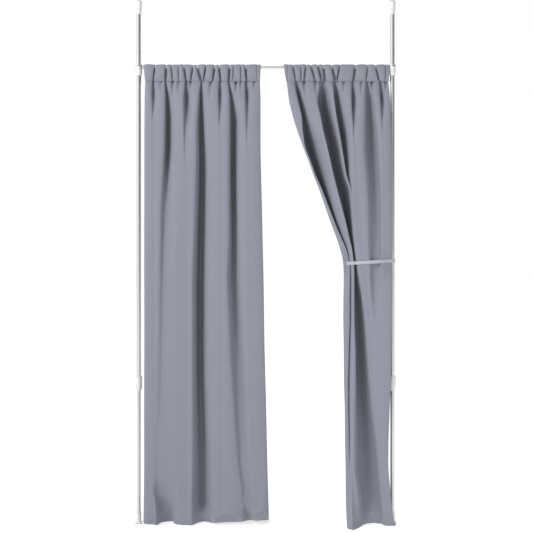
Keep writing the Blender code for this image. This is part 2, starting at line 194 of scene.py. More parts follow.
def effect(name, inputs, outputs):
    """An empty node group with named inputs (kind, value) and outputs (kind)."""
    group = bpy.data.node_groups.new(name, "ShaderNodeTree")
    for label, (kind, value) in inputs.items():
        socket = group.interface.new_socket(label, in_out="INPUT", socket_type=kind)
        if value is not None:
            socket.default_value = value
    for label, kind in outputs.items():
        group.interface.new_socket(label, in_out="OUTPUT", socket_type=kind)
    return group, group.nodes.new("NodeGroupInput").outputs, group.nodes.new("NodeGroupOutput").inputs


def product(tree, first, second):
    """The product of a socket and another socket or a number."""
    made = wire(tree, "ShaderNodeMath", [(0, first)], operation="MULTIPLY")
    if isinstance(second, float):
        made.inputs[1].default_value = second
    else:
        tree.links.new(second, made.inputs[1])
    return made.outputs[0]


def ranged(tree, value, given, wanted):
    """A value carried from one range (low, high) to another."""
    made = wire(tree, "ShaderNodeMapRange", [("Value", value)])
    for label, number in zip(("From Min", "From Max", "To Min", "To Max"), (*given, *wanted)):
        made.inputs[label].default_value = number
    return made.outputs[0]


def plain_weave():
    """Over-and-under threads as a height: half the product of two sines, one along each thread direction,
    plus a noise stretched along each direction for slubs. The colour varies a little with the slubs and with
    a broad noise."""
    group, given, out = effect(
        "plain_weave",
        {
            "Vector": ("NodeSocketVector", None),
            "Colour": ("NodeSocketColor", (0.3, 0.3, 0.35, 1.0)),
            "Threads per metre": ("NodeSocketFloat", 1400.0),
            "Slub": ("NodeSocketFloat", 0.35),
        },
        {"Colour": "NodeSocketColor", "Height": "NodeSocketFloat"},
    )
    split = wire(group, "ShaderNodeSeparateXYZ", [("Vector", given["Vector"])])
    waves = []
    for socket in ("X", "Y"):
        turns = product(group, split.outputs[socket], given["Threads per metre"])
        wave = wire(group, "ShaderNodeMath", [(0, product(group, turns, np.pi))], operation="SINE")
        waves.append(wave.outputs[0])
    weave = product(group, waves[0], waves[1])
    slubs = []
    for stretch in ((260.0, 9.0, 1.0), (9.0, 260.0, 1.0)):
        place = wire(group, "ShaderNodeMapping", [("Vector", given["Vector"])], Scale=stretch)
        noise = wire(group, "ShaderNodeTexNoise", [("Vector", place.outputs[0])], Scale=1.0, Detail=2.0)
        slubs.append(noise.outputs["Fac"])
    slub = wire(group, "ShaderNodeMath", [(0, slubs[0]), (1, slubs[1])], operation="ADD").outputs[0]
    threads, uneven = product(group, weave, 0.5), product(group, slub, given["Slub"])
    height = wire(group, "ShaderNodeMath", [(0, threads), (1, uneven)], operation="ADD")
    group.links.new(height.outputs[0], out["Height"])
    shade = ranged(group, slub, (0.6, 1.4), (0.96, 1.03))
    broad = wire(group, "ShaderNodeTexNoise", [("Vector", given["Vector"])], Scale=7.0, Detail=2.0)
    cloudy = ranged(group, broad.outputs["Fac"], (0.0, 1.0), (0.97, 1.03))
    tint = wire(group, "ShaderNodeVectorMath", [(0, given["Colour"])], operation="SCALE")
    group.links.new(product(group, shade, cloudy), tint.inputs["Scale"])
    group.links.new(tint.outputs[0], out["Colour"])
    return group


def fine_grain():
    """A moulded or painted surface: small grain as a height, faint clouds in the colour and the gloss."""
    group, given, out = effect(
        "fine_grain",
        {
            "Vector": ("NodeSocketVector", None),
            "Colour": ("NodeSocketColor", (0.6, 0.6, 0.6, 1.0)),
            "Roughness": ("NodeSocketFloat", 0.4),
            "Grain size": ("NodeSocketFloat", 1500.0),
        },
        {"Colour": "NodeSocketColor", "Roughness": "NodeSocketFloat", "Height": "NodeSocketFloat"},
    )
    grain = wire(group, "ShaderNodeTexNoise", [("Vector", given["Vector"]), ("Scale", given["Grain size"])])
    grain.inputs["Detail"].default_value = 3.0
    group.links.new(grain.outputs["Fac"], out["Height"])
    cloud = wire(group, "ShaderNodeTexNoise", [("Vector", given["Vector"])], Scale=22.0, Detail=3.0)
    tint = wire(group, "ShaderNodeVectorMath", [(0, given["Colour"])], operation="SCALE")
    group.links.new(ranged(group, cloud.outputs["Fac"], (0.0, 1.0), (0.94, 1.05)), tint.inputs["Scale"])
    group.links.new(tint.outputs[0], out["Colour"])
    gloss = ranged(group, cloud.outputs["Fac"], (0.0, 1.0), (-0.06, 0.08))
    rough = wire(group, "ShaderNodeMath", [(0, gloss), (1, given["Roughness"])], operation="ADD")
    group.links.new(rough.outputs[0], out["Roughness"])
    return group


def finish_of(name, group, colour, bump, distance, source="Object", values=(), **constants):
    """A Principled finish whose colour, roughness and bump come from one effect group."""
    made = bpy.data.materials.new(name)
    made.use_nodes = True
    tree = made.node_tree
    shader = tree.nodes["Principled BSDF"]
    for label, value in constants.items():
        shader.inputs[label.replace("_", " ")].default_value = value
    place = wire(tree, "ShaderNodeTexCoord").outputs[source]
    used = tree.nodes.new("ShaderNodeGroup")
    used.node_tree = group
    used.inputs["Colour"].default_value = (*colour, 1.0)
    for label, value in values:
        used.inputs[label].default_value = value
    tree.links.new(place, used.inputs["Vector"])
    tree.links.new(used.outputs["Colour"], shader.inputs["Base Color"])
    if "Roughness" in used.outputs:
        tree.links.new(used.outputs["Roughness"], shader.inputs["Roughness"])
    height = used.outputs["Height"]
    relief = wire(tree, "ShaderNodeBump", [("Height", height)], Strength=bump, Distance=distance)
    tree.links.new(relief.outputs["Normal"], shader.inputs["Normal"])
    return made


WEAVE = plain_weave()
GRAIN = fine_grain()
CLOTH = finish_of(
    "blue_grey_cloth", WEAVE, (0.194, 0.200, 0.236), 0.30, 0.0003, "UV", Roughness=0.88, Sheen_Weight=0.25,
    Sheen_Roughness=0.45,
)
BAND = finish_of(
    "tieback_band", WEAVE, (0.335, 0.340, 0.365), 0.4, 0.0003, "UV", Roughness=0.85, Sheen_Weight=0.25,
    Sheen_Roughness=0.45,
)
SILVER = finish_of(
    "satin_silver", GRAIN, (0.62, 0.62, 0.605), 0.004, 0.0001, values=[("Roughness", 0.30)], Metallic=0.9,
)
PLASTIC = finish_of(
    "grey_plastic", GRAIN, (0.60, 0.60, 0.585), 0.25, 0.0003,
    values=[("Roughness", 0.46), ("Grain size", 900.0)],
)
WHITE = finish_of("white_plastic", GRAIN, (0.86, 0.86, 0.85), 0.10, 0.0002, values=[("Roughness", 0.35)])
RUBBER = finish_of(
    "grey_rubber", GRAIN, (0.20, 0.20, 0.20), 0.35, 0.0004,
    values=[("Roughness", 0.78), ("Grain size", 700.0)],
)


# ---------------------------------------------------------------------------------------------------------
# Posts and rod
# ---------------------------------------------------------------------------------------------------------

# The tubes' walls and the rounding of their ends
POST_WALL, ROD_WALL, TUBE_FILLET = 0.001, 0.0008, 0.0003
# The foot: the tube's seat, the sleeve's wall, where the sleeve meets the flange, and the flange's edge
FOOT_SEAT, FOOT_SLEEVE, FOOT_SHOULDER, FOOT_SLOPE, FOOT_EDGE = 0.012, 0.0028, 0.0155, 0.0115, 0.0090
# The collar: the upper tube goes this far in; the grip's gap, thickness and height; the skirt's taper
COLLAR_SEAT, GRIP_GAP, GRIP_THICK, GRIP_HEIGHT, COLLAR_TAPER = 0.0453, 0.0035, 0.0034, 0.018, 0.0045
# The rod clamp: the neck that the rod's eye sits on, its height, and the sleeve's thin lower lip
CLAMP_NECK, CLAMP_NECK_HEIGHT, CLAMP_LIP, CLAMP_CONE = 0.0137, 0.0130, 0.0012, 0.014
# The clamp's screw: the knob's depth and bevel, the shank's radius
KNOB_DEPTH, KNOB_BEVEL, SHANK = 0.0062, 0.0015, 0.0022
# The ceiling cap: its rim's height, its bevel, and the wall over the screw
CAP_RIM, CAP_BEVEL, CAP_WALL = 0.0048, 0.0025, 0.008


def span(node, axis=2):
    """A node's lowest and highest place along one axis."""
    low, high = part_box(node)
    return float(low[axis]), float(high[axis])


def half_width(node):
    low, high = span(node, 0)
    return (high - low) / 2.0


def piece(name, outline, centre, body, finish, node, **shape):
    """A turned piece that stands for its node."""
    mesh = face_outwards(turned(name, outline, centre, **shape))
    return new_object(name, mesh, body, finish, [node])


def ring_outline(outer, inner, bottom, top):
    return [(outer, top), (outer, bottom), (inner, bottom), (inner, top)]


def disc(name, node, centre, body):
    """A rubber disc under the foot or over the cap."""
    low, high = span(node)
    radius = half_width(node)
    piece(name, [(0.0, high), (radius, high), (radius, low), (0.0, low)], centre, body, RUBBER, node)


def post_tube(name, node, centre, body):
    low, high = span(node)
    radius = half_width(node)
    outline = ring_outline(radius, radius - POST_WALL, low, high)
    piece(name, outline, centre, body, SILVER, node, fillet=TUBE_FILLET)


def post(side):
    x = POST_X[side]
    centre = (x, 0.0, 0.0)
    base, upper, jack = f"{side}_post_base", f"{side}_upper_post", f"{side}_jack"
    clamp_body = "rod_carrier" if side == "left" else "right_clamp"
    tube, outer = half_width(f"{side}_lower_tube"), half_width(f"{side}_upper_tube")

    disc(f"{side}_foot_rubber", f"{side}_floor_pad", centre, base)
    node = f"{side}_foot_cup"
    low, high = span(node)
    radius = half_width(node)
    sleeve = tube + FOOT_SLEEVE
    cup = [
        (0.0, FOOT_SEAT), (tube + GAP, FOOT_SEAT), (tube + GAP, high), (sleeve, high),
        (sleeve, FOOT_SHOULDER), (sleeve + 0.004, FOOT_SLOPE), (radius, FOOT_EDGE), (radius, low), (0.0, low),
    ]
    piece(f"{side}_foot", cup, centre, base, PLASTIC, node, fillet=0.0010)
    post_tube(f"{side}_lower_post_tube", f"{side}_lower_tube", centre, base)
    post_tube(f"{side}_upper_post_tube", f"{side}_upper_tube", centre, upper)

    node = f"{side}_lock_collar"
    low, high = span(node)
    radius = half_width(node)
    seat = high - COLLAR_SEAT
    chamber, grip = seat - GRIP_GAP, tube + GRIP_THICK
    groove = radius - 0.0010
    collar = [
        (outer + GAP, high), (outer + GAP, seat), (tube + GAP, seat), (tube + GAP, chamber), (grip, chamber),
        (grip, chamber - GRIP_HEIGHT), (tube + GAP, chamber - GRIP_HEIGHT), (tube + GAP, low),
        (radius - COLLAR_TAPER, low), (radius, low + 0.020), (radius, low + 0.034), (groove, low + 0.035),
        (groove, low + 0.037), (radius, low + 0.038), (radius, high),
    ]
    flutes = (24, 0.0005, low + 0.039, high - 0.003)
    piece(
        f"{side}_twist_collar", collar, centre, f"{side}_collar", PLASTIC, node, fillet=0.0010, segments=96,
        flutes=flutes,
    )

    node = f"{side}_rod_clamp"
    low, high = span(node)
    radius = half_width(node)
    bore, shoulder = outer + GAP, high - CLAMP_NECK_HEIGHT
    sleeve = [
        (bore, high), (bore, low), (bore + CLAMP_LIP, low), (radius, low + CLAMP_CONE), (radius, shoulder),
        (CLAMP_NECK, shoulder), (CLAMP_NECK, high),
    ]
    piece(f"{side}_clamp_sleeve", sleeve, centre, clamp_body, PLASTIC, node, fillet=0.0007)
    node = f"{side}_clamp_screw"
    front, back = span(node, 1)
    radius = half_width(node)
    shank_start = front + KNOB_DEPTH
    screw = [
        (0.0, front), (radius - KNOB_BEVEL, front), (radius, front + KNOB_BEVEL), (radius, shank_start),
        (SHANK, shank_start), (SHANK, back), (0.0, back),
    ]
    piece(
        f"{side}_clamp_knob", screw, (x, 0.0, middle_of(node, 2)), f"{side}_screw", WHITE, node, axis="Y",
        fillet=0.0009, segments=48,
    )

    node = f"{side}_tension_nut"
    low, high = span(node)
    bore = half_width(f"{side}_spindle") + GAP
    piece(
        f"{side}_turning_neck", ring_outline(half_width(node), bore, low, high), centre, f"{side}_nut",
        PLASTIC, node, fillet=0.0014, segments=96, flutes=(24, 0.0006, low + 0.003, high - 0.003),
    )
    node = f"{side}_ceiling_cap"
    low, high = span(node)
    radius = half_width(node)
    cap = [
        (0.0, high), (radius, high), (radius, low + CAP_RIM), (radius - CAP_BEVEL, low), (bore, low),
        (bore, high - CAP_WALL), (0.0, high - CAP_WALL),
    ]
    piece(f"{side}_top_cap", cap, centre, jack, PLASTIC, node, fillet=0.0012)
    disc(f"{side}_top_rubber", f"{side}_ceiling_pad", centre, jack)
    screw_thread(side, x)


def screw_thread(side, x):
    """The jack's two-start screw: radius = crest - depth * (0.5 - 0.5 cos(2 pi height / pitch - 2 angle)),
    with a lead-in cone at its foot."""
    low, high = span(f"{side}_spindle")
    crest = half_width(f"{side}_spindle")
    steps, segments = 340, 28
    depth, pitch, cone = 0.0007, 0.003, 0.006
    height = np.linspace(low, high, steps)[None, :]
    angle = np.linspace(0.0, 2.0 * np.pi, segments, endpoint=False)[:, None]
    radius = crest - depth * (0.5 - 0.5 * np.cos(2.0 * np.pi * height / pitch - 2.0 * angle))
    radius = radius * np.minimum(1.0, 0.75 + (height - low) / cone)
    radius[:, [0, -1]] = 1e-5
    height = height + 0.0 * angle
    points = np.stack([x + radius * np.cos(angle), radius * np.sin(angle), height], axis=-1)
    faces = grid_faces(segments, steps, wrap_rows=True)
    mesh = face_outwards(mesh_of(f"{side}_jack_screw", points.reshape(-1, 3), faces))
    new_object(f"{side}_jack_screw", mesh, f"{side}_jack", SILVER, [f"{side}_spindle"])


def rod():
    for name, node, body in (
        ("outer_rod_tube", "rod_outer_tube", "rod_carrier"),
        ("inner_rod_tube", "rod_inner_tube", "rod_inner"),
    ):
        bottom, top = span(node)
        radius = (top - bottom) / 2.0
        outline = ring_outline(radius, radius - ROD_WALL, *span(node, 0))
        piece(name, outline, (0.0, 0.0, ROD_HEIGHT), body, SILVER, node, axis="X", fillet=TUBE_FILLET)
    for side in ("left", "right"):
        dress(f"{side}_rod_end", SILVER)
        for part in ("guide_bush", "lock_collet", "tube_insert"):
            dress(f"{side}_{part}", PLASTIC)
    dress("rod_mouth_bush", PLASTIC)
    dress("tieback_snap", WHITE)


def dress(node, finish):
    """Gives a node of the frame its finish."""
    for slot in bpy.data.objects[node].material_slots:
        slot.material = finish


# ---------------------------------------------------------------------------------------------------------
# Pleated cloth
# ---------------------------------------------------------------------------------------------------------


def eased(levels, keys, soften):
    """Drawn values at each level: keys (level, value, ...) joined by straight lines, then averaged over
    soften to either side with a raised cosine, so that nothing turns a corner."""
    keys = np.array(sorted(keys), float)
    reach = np.linspace(-1.0, 1.0, 11)
    weight = 1.0 + np.cos(np.pi * reach)
    weight /= weight.sum()
    spread = levels[:, None] + reach * soften
    drawn = [np.interp(spread, keys[:, 0], column) @ weight for column in keys[:, 1:].T]
    return np.stack(drawn, axis=1)


def cubic(start, leave, arrive, end, share):
    """Points of one cubic curve for every row: start (1-t)^3 + 3 leave (1-t)^2 t + 3 arrive (1-t) t^2 +
    end t^3."""
    t = share[None, :, None]
    corners = [corner[:, None, :] for corner in (start, leave, arrive, end)]
    return (
        corners[0] * (1 - t) ** 3 + 3 * corners[1] * (1 - t) ** 2 * t + 3 * corners[2] * (1 - t) * t**2
        + corners[3] * t**3
    )


def turned_by(direction, angle):
    """Unit directions (rows, 2) turned by an angle for each row."""
    cos, sin = np.cos(angle), np.sin(angle)
    x, y = direction[:, 0], direction[:, 1]
    return np.stack([x * cos - y * sin, x * sin + y * cos], axis=1)


def unit(direction):
    return direction / np.linalg.norm(direction, axis=1)[:, None]


# A valley this deep is open, and its lips round over; a shallower one is part of the way there
OPEN_DEPTH = 0.020


def pleats(levels, start, end, valleys, sag, soften, tilt=0.20, per_face=16, per_wall=8):
    """Plan of a pleated cloth at each level: (x, depth behind the front), shape (rows, columns, 2).

    start and end are (rows, 2). A valley is (share, keys), each key (level, left lip, right lip, depth) and
    perhaps a setback: the floor lies at that share of the way from the left lip to the right one, the left
    lip at the setback and the right one a further tilt * depth behind. Faces bow forward by sag next to a
    valley that is open. A face and each wall are single cubic curves that share their directions at the
    lips: the left wall is tight at its lip, the right one slopes gently."""
    lips, opened = [], []
    for share, keys in valleys:
        whole = [(*key, 0.0)[:5] for key in keys]
        left, right, depth, setback = eased(levels, whole, soften).T
        lips.append((
            np.stack([left, setback], axis=1),
            np.stack([left + share * (right - left), setback + depth], axis=1),
            np.stack([right, setback + tilt * depth], axis=1),
        ))
        opened.append(np.clip(depth / OPEN_DEPTH, 0.0, 1.0)[:, None])
    starts = [start] + [right for _, _, right in lips]
    ends = [left for left, _, _ in lips] + [end]
    face_share = np.linspace(0.0, 1.0, per_face, endpoint=False)
    wall_share = np.linspace(0.0, 1.0, per_wall, endpoint=False)
    along = np.array([[1.0, 0.0]])
    leaves, lands = [], []
    for here, there in zip(starts, ends):
        chord = there - here
        bow = np.arcsin(np.clip(4.0 * sag / np.linalg.norm(chord, axis=1), 0.0, 0.7))
        leaves.append(turned_by(unit(chord), -bow))
        lands.append(turned_by(unit(chord), bow))
    for number, share in enumerate(opened):
        flat = unit(ends[number + 1] - starts[number])
        lands[number] = unit(flat + (lands[number] - flat) * share)
        leaves[number + 1] = unit(flat + (leaves[number + 1] - flat) * share)
    columns = []
    for number, (here, there) in enumerate(zip(starts, ends)):
        leave, land = leaves[number], lands[number]
        if number:
            floor = lips[number - 1][1]
            run = np.abs(here - floor)
            deep, reach = 0.30 * run[:, :1] + 0.06 * run[:, 1:], 0.62 * run[:, :1]
            columns.append(cubic(floor, floor + along * deep, here - leave * reach, here, wall_share))
        third = np.linalg.norm(there - here, axis=1)[:, None] / 3.0
        columns.append(cubic(here, here + leave * third, there - land * third, there, face_share))
        if number < len(lips):
            floor = lips[number][1]
            run = np.abs(floor - there)
            near = run[:, :1] / 3.0 + 0.45 * np.minimum(run[:, 1:], 0.014)
            far = run[:, :1] / 3.0 + 0.16 * run[:, 1:]
            columns.append(cubic(there, there + land * near, floor - along * far, floor, wall_share))
    columns.append(end[:, None, :])
    return np.concatenate(columns, axis=1)


def waves(u, v, seed, count, length, amplitude):
    """Gentle unevenness: a sum of sines in both directions with seeded phases and directions."""
    draw = np.random.default_rng(seed)
    total = np.zeros(np.broadcast(u, v).shape)
    for _ in range(count):
        turn, phase = draw.uniform(0.0, 2.0 * np.pi, 2)
        size = length * draw.uniform(0.6, 1.8)
        total += np.sin(2.0 * np.pi * (u * np.cos(turn) + v * np.sin(turn) * 0.4) / size + phase)
    return amplitude * total / np.sqrt(count)


def cloth_uv(points):
    """Metres of cloth: u is the length along each row, v the height."""
    step = np.linalg.norm(np.diff(points, axis=1), axis=2)
    along = np.concatenate([np.zeros((len(points), 1)), np.cumsum(step, axis=1)], axis=1)
    down = np.linalg.norm(np.diff(points, axis=0), axis=2).mean(axis=1)
    drop = np.concatenate([[0.0], np.cumsum(down)])
    return np.stack([along, np.broadcast_to(drop[:, None], along.shape)], axis=-1)


def cloth_piece(name, points, body, replaced, hems=None, finish=None):
    """A sheet from a grid of points, thickened by Solidify, with thicker hems where hems is 1."""
    rows, columns = points.shape[:2]
    faces = grid_faces(rows, columns)
    mesh = mesh_of(name, points.reshape(-1, 3), faces, cloth_uv(points).reshape(-1, 2))
    made = new_object(name, mesh, body, finish or CLOTH, replaced)
    shell = made.modifiers.new("cloth thickness", "SOLIDIFY")
    shell.thickness = CLOTH_THICK
    shell.offset = 0.0
    if hems is not None:
        group = made.vertex_groups.new(name="hems")
        for level in np.unique(hems):
            group.add(np.flatnonzero(hems.ravel() == level).tolist(), float(level), "REPLACE")
        shell.thickness = 3.0 * CLOTH_THICK
        shell.vertex_group = "hems"
        shell.thickness_vertex_group = 1.0 / 3.0
    return made


# A drop's row heights: closer together under the seam and above the floor
DROP_ROWS = 140


def row_heights(top, bottom):
    share = np.linspace(0.0, 1.0, DROP_ROWS)
    return top + (bottom - top) * (share - 0.12 * np.sin(2.0 * np.pi * share))


def floor_break(x, y, z, creases):
    """The cloth's foot on the floor. Creases (x, break height, shift) are joined by straight lines, so the
    cloth is faceted: over the break it bulges forward, and under it it runs back, or forward, by the shift
    and ends up nearly lying: with s from 0 at the break to 1 at the hem, y + shift s^1.2 and
    z = break (1 - s)^1.7."""
    keys = np.array(creases)
    height = np.interp(x, keys[:, 0], keys[:, 1])
    shift = np.interp(x, keys[:, 0], keys[:, 2])
    share = np.clip(1.0 - z / height, 0.0, 1.0)
    bulge = 0.10 * np.abs(shift) * np.exp(-(((z - height) / (0.5 * height)) ** 2))
    lowered = np.where(share > 0.0, FLOOR_GAP + (height - FLOOR_GAP) * (1.0 - share) ** 1.7, z)
    return y - bulge + shift * share**1.2, lowered


def drop_points(start_keys, end_keys, front_keys, valleys, puckers, creases, seed):
    """The panel under the seam. Front_keys is the front's place along Y; puckers (x, slant, half width,
    depth, length) are short grooves that start at the seam and die out; creases are floor_break's."""
    heights = row_heights(SEAM_HEIGHT + SEAM_LAP, FLOOR_GAP)
    start, end = eased(heights, start_keys, 0.03), eased(heights, end_keys, 0.03)
    sag = eased(heights, ((2.366, 0.0030), (2.30, 0.0045), (2.0, 0.0045), (0.0, 0.0050)), 0.02)[:, 0]
    plan = pleats(heights, start, end, valleys, sag, 0.030)
    front = eased(heights, front_keys, 0.02)
    x, y = plan[..., 0], plan[..., 1] + front
    below = (SEAM_HEIGHT - heights)[:, None]
    for place, slant, half, depth, length in puckers:
        centre = place + slant * below
        fade = np.clip(1.0 - below / length, 0.0, 1.0) ** 1.5
        y = y + depth * fade * np.exp(-(((x - centre) / half) ** 2))
    uneven = waves(x, heights[:, None], seed, 9, 0.30, 0.0022) * np.clip(below / 0.3, 0.0, 1.0)
    y, z = floor_break(x, y, heights[:, None], creases)
    return np.stack([x, y + uneven, z], axis=-1)


def hem_mask(points):
    """1 on the bottom hem and the side hems, 0 elsewhere."""
    uv = cloth_uv(points)
    along, down = uv[..., 0], uv[..., 1]
    side = (along < SIDE_HEM) | (along > along[:, -1:] - SIDE_HEM)
    return (side | (down > down.max() - HEM_DEPTH)).astype(float)


LEFT_DROP = (
    (0.45, (
        (2.367, -0.612, -0.592, 0.016), (2.30, -0.612, -0.584, 0.030), (2.24, -0.610, -0.584, 0.014),
        (2.15, -0.608, -0.590, 0.0),
    )),
    (0.25, (
        (2.367, -0.543, -0.527, 0.014), (2.286, -0.539, -0.504, 0.052), (2.168, -0.539, -0.492, 0.075),
        (2.013, -0.541, -0.492, 0.075), (1.857, -0.549, -0.494, 0.044), (1.696, -0.556, -0.490, 0.026),
        (1.30, -0.562, -0.490, 0.012), (0.60, -0.575, -0.490, 0.005), (0.50, -0.600, -0.480, 0.003),
        (0.26, -0.600, -0.478, 0.003), (0.15, -0.590, -0.482, 0.030), (0.10, -0.584, -0.478, 0.064),
        (0.0, -0.578, -0.474, 0.042),
    )),
    (0.30, (
        (2.367, -0.436, -0.412, 0.018), (2.286, -0.441, -0.398, 0.052), (2.21, -0.441, -0.396, 0.034),
        (2.131, -0.441, -0.400, 0.016), (2.02, -0.439, -0.404, 0.005), (1.90, -0.436, -0.412, 0.0),
        (0.0, -0.430, -0.414, 0.0),
    )),
    (0.5, (
        (2.367, -0.352, -0.336, 0.014), (2.30, -0.360, -0.330, 0.050), (2.131, -0.368, -0.320, 0.095),
        (1.93, -0.369, -0.309, 0.105), (1.696, -0.376, -0.309, 0.110), (1.305, -0.388, -0.312, 0.112),
        (0.795, -0.388, -0.312, 0.108), (0.447, -0.386, -0.298, 0.100), (0.12, -0.390, -0.290, 0.090),
        (0.0, -0.390, -0.290, 0.036),
    )),
    (0.35, (
        (2.367, -0.255, -0.233, 0.015), (2.30, -0.258, -0.228, 0.036), (2.22, -0.256, -0.228, 0.016),
        (2.14, -0.252, -0.232, 0.003), (2.08, -0.249, -0.236, 0.0), (0.0, -0.245, -0.232, 0.0),
    )),
    (0.45, (
        (2.367, -0.206, -0.190, 0.014), (2.286, -0.197, -0.168, 0.052), (2.168, -0.195, -0.146, 0.088),
        (1.857, -0.197, -0.146, 0.092), (1.541, -0.196, -0.140, 0.075), (1.305, -0.204, -0.135, 0.070),
        (0.876, -0.188, -0.116, 0.044), (0.538, -0.168, -0.102, 0.028), (0.323, -0.153, -0.094, 0.020),
        (0.195, -0.135, -0.075, 0.018), (0.0, -0.130, -0.055, 0.020),
    )),
    (0.40, (
        (2.367, -0.116, -0.092, 0.016), (2.30, -0.115, -0.080, 0.042), (2.22, -0.113, -0.080, 0.020),
        (2.14, -0.110, -0.080, 0.010), (2.02, -0.106, -0.084, 0.0), (0.876, -0.085, -0.075, 0.0),
        (0.20, -0.050, -0.042, 0.0), (0.0, -0.032, -0.024, 0.0),
    )),
)
LEFT_START = ((2.367, -0.644, 0.004), (2.27, -0.645, 0.010), (0.3, -0.646, 0.012), (0.0, -0.650, 0.012))
LEFT_END = (
    (2.367, -0.031, 0.004), (2.27, -0.0275, 0.010), (1.99, -0.0275, 0.010), (1.696, -0.020, 0.010),
    (1.251, -0.010, 0.010), (0.956, -0.006, 0.010), (0.661, 0.002, 0.010), (0.28, 0.0105, 0.010),
    (0.0, 0.018, 0.010),
)
LEFT_FRONT = ((2.367, -0.010), (2.34, -0.020), (2.28, -0.034), (2.1, -0.046), (1.7, -0.050), (0.0, -0.052))
LEFT_PUCKERS = (
    (-0.497, 0.02, 0.0075, 0.0192, 0.14), (-0.465, 0, 0.00625, 0.0144, 0.09),
    (-0.402, 0, 0.00625, 0.016, 0.1), (-0.292, -0.06, 0.0075, 0.0176, 0.12),
    (-0.158, 0.02, 0.00625, 0.0224, 0.1), (-0.132, 0.03, 0.00625, 0.0128, 0.08),
    (-0.56, 0, 0.00625, 0.0096, 0.07), (-0.06, -0.02, 0.00625, 0.0112, 0.07),
)
LEFT_CREASE_LINE = (
    (-0.655, 0.030, 0.030), (-0.600, 0.045, 0.030), (-0.585, 0.050, 0.010), (-0.500, 0.150, 0.060),
    (-0.488, 0.060, 0.020), (-0.440, 0.020, 0.012), (-0.388, 0.018, 0.008), (-0.378, 0.070, 0.020),
    (-0.330, 0.045, 0.050), (-0.292, 0.075, 0.055), (-0.272, 0.030, 0.060), (-0.200, 0.072, 0.080),
    (-0.125, 0.055, 0.090), (-0.112, 0.115, 0.085), (-0.060, 0.050, 0.110), (-0.012, 0.085, 0.115),
    (0.030, 0.035, 0.125),
)
